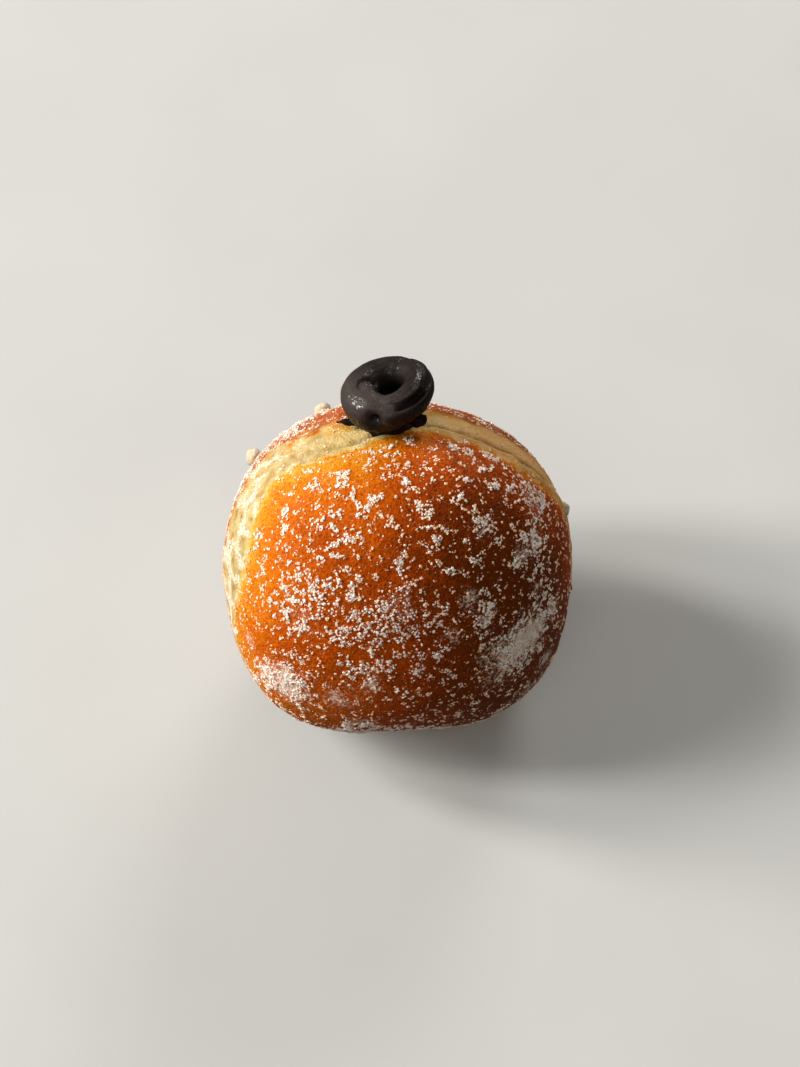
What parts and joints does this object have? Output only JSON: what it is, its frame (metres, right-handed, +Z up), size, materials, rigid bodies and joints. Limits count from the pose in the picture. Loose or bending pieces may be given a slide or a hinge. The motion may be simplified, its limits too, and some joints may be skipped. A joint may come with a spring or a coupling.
{
  "type": "jelly filled doughnut",
  "caption": "Round filled doughnut without a hole, rolled in sugar and standing on its rim, with a pale band round its waist and a curl of dark filling on top.",
  "frame": {"origin": "middle of the flat spot that the doughnut rests on", "axes": "+Z up; -Y towards the side that the browned front face looks to; +X to the right seen from there"},
  "size_m": [0.0883, 0.0786, 0.0911],
  "materials": {
    "crust": "fried dough, orange-brown on the faces and pale yellow along the band, satin from the oil",
    "filling": "near-black brown, smooth and wet, with soft highlights",
    "sugar": "white sugar crystals, slightly clear, with small glints",
    "crumb": "pale fried crumb, dull and porous"
  },
  "bodies": {
    "root": {"bun": "crust", "filling": "filling"}
  },
  "joints": []
}
